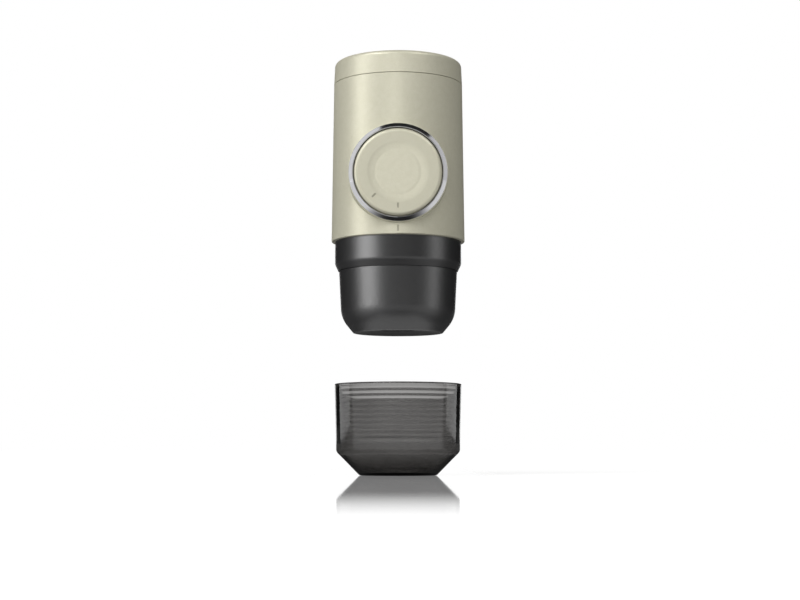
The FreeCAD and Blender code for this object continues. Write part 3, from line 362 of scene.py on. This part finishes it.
def make_world():
    """White for the camera, soft grey light all round, and in gloss a dark studio with a white
    background low down straight behind."""
    world = bpy.data.worlds.new("studio")
    bpy.context.scene.world = world
    world.use_nodes = True
    tree = world.node_tree
    background = tree.nodes["Background"]
    way = add(tree, "SeparateXYZ", {0: add(tree, "TexCoord").outputs["Generated"]}).outputs
    path = add(tree, "LightPath")
    low_down = smooth_step(tree, way["Z"], *HORIZON_Z, 1.0, 0.0)
    behind = smooth_step(tree, way["Y"], *BEHIND_Y)
    front = smooth_step(tree, way["Y"], *IN_FRONT_Y, STUDIO_FRONT, STUDIO_DARK)
    studio = math_node(tree, "MAXIMUM", product(tree, low_down, behind), front)
    glossy = path.outputs["Is Glossy Ray"]
    level = add(tree, "Mix", {0: glossy, 2: SOFT_LIGHT, 3: studio}, data_type="FLOAT")
    strength = math_node(tree, "MAXIMUM", seen_through(tree, path), level.outputs[0])
    tree.links.new(strength, background.inputs["Strength"])
    background.inputs["Color"].default_value = (1, 1, 1, 1)


def softbox(name, azimuth, elevation, distance, width, height, radiance, group):
    """A lamp aimed at the maker. Its azimuth is from the front towards +X. Angles are in degrees."""
    lamp = bpy.data.lights.new(name, "AREA")
    lamp.shape = "RECTANGLE"
    lamp.size, lamp.size_y = width, height
    lamp.energy = radiance * math.pi * width * height
    holder = bpy.data.objects.new(name, lamp)
    bpy.context.scene.collection.objects.link(holder)
    turn, rise = math.radians(azimuth), math.radians(elevation)
    level = math.cos(rise)
    away = Vector((math.sin(turn) * level, -math.cos(turn) * level, math.sin(rise)))
    holder.location = LAMP_AIM + distance * away
    holder.rotation_euler = away.to_track_quat("Z", "Y").to_euler()
    holder.visible_camera = False
    holder.light_linking.receiver_collection = group
    return holder


def make_camera():
    camera = bpy.data.cameras.new("camera")
    camera.sensor_width = SENSOR_WIDTH
    camera.lens = FOCAL_PIXELS * SENSOR_WIDTH / IMAGE_WIDTH
    holder = bpy.data.objects.new("camera", camera)
    bpy.context.scene.collection.objects.link(holder)
    holder.location = CAMERA_PLACE
    holder.rotation_euler = (math.pi / 2 + CAMERA_PITCH, 0, 0)
    bpy.context.scene.camera = holder


table = make_floor()
make_world()
make_camera()

LIT_APART = {"black_plastic", "bezel_metal", "cup_smoke"}
paint = lit_group("lit_paint", set(FINISHES) - LIT_APART)
black = lit_group("lit_black", {"black_plastic"})
ring = lit_group("lit_ring", {"bezel_metal"})
cup = lit_group("lit_cup", {"cup_smoke"})
cup_and_table = lit_group("lit_cup_and_table", {"cup_smoke"})
cup_and_table.objects.link(table)

# Name, azimuth, elevation, distance, width, height, radiance, what it lights.
softbox("left_strip", -68, 8, 1.1, 0.45, 0.9, 2.9, paint)
softbox("key", -45, 45, 1.2, 0.7, 0.5, 5.6, paint)
softbox("front", -5, 8, 1.1, 0.3, 0.9, 1.75, paint)
softbox("fill", 39, 45, 1.2, 0.7, 0.5, 3.3, paint)
softbox("back", 180, 35, 1.3, 0.8, 0.8, 3.4, paint).visible_glossy = False
softbox("black_left", -59, 8, 1.1, 0.66, 0.9, 6.2, black)
softbox("black_right", 72, 8, 1.1, 0.40, 0.9, 2.4, black)
softbox("black_back", 180, 20, 1.3, 0.8, 0.8, 3.0, black)
softbox("ring_left", -62, 33, 0.7, 0.8, 0.90, 0.80, ring)
softbox("ring_right", 62, 26, 0.7, 0.8, 0.66, 0.60, ring)
softbox("cup_key", -30, 46, 1.3, 0.8, 0.8, 3.0, cup_and_table)
softbox("cup_left", -115, 6, 1.1, 0.7, 0.9, 1.2, cup)
softbox("cup_right", 115, 6, 1.1, 0.7, 0.9, 1.2, cup)
# What the cup and the table throw up under the outlet, from level with the cup's rim.
bounce = softbox("bounce", 0, -89, 0.02, 0.08, 0.08, 0.8, black)
bounce.location = (0, -0.02, CUP_HIGH.z)

bpy.context.scene.view_settings.view_transform = "Standard"
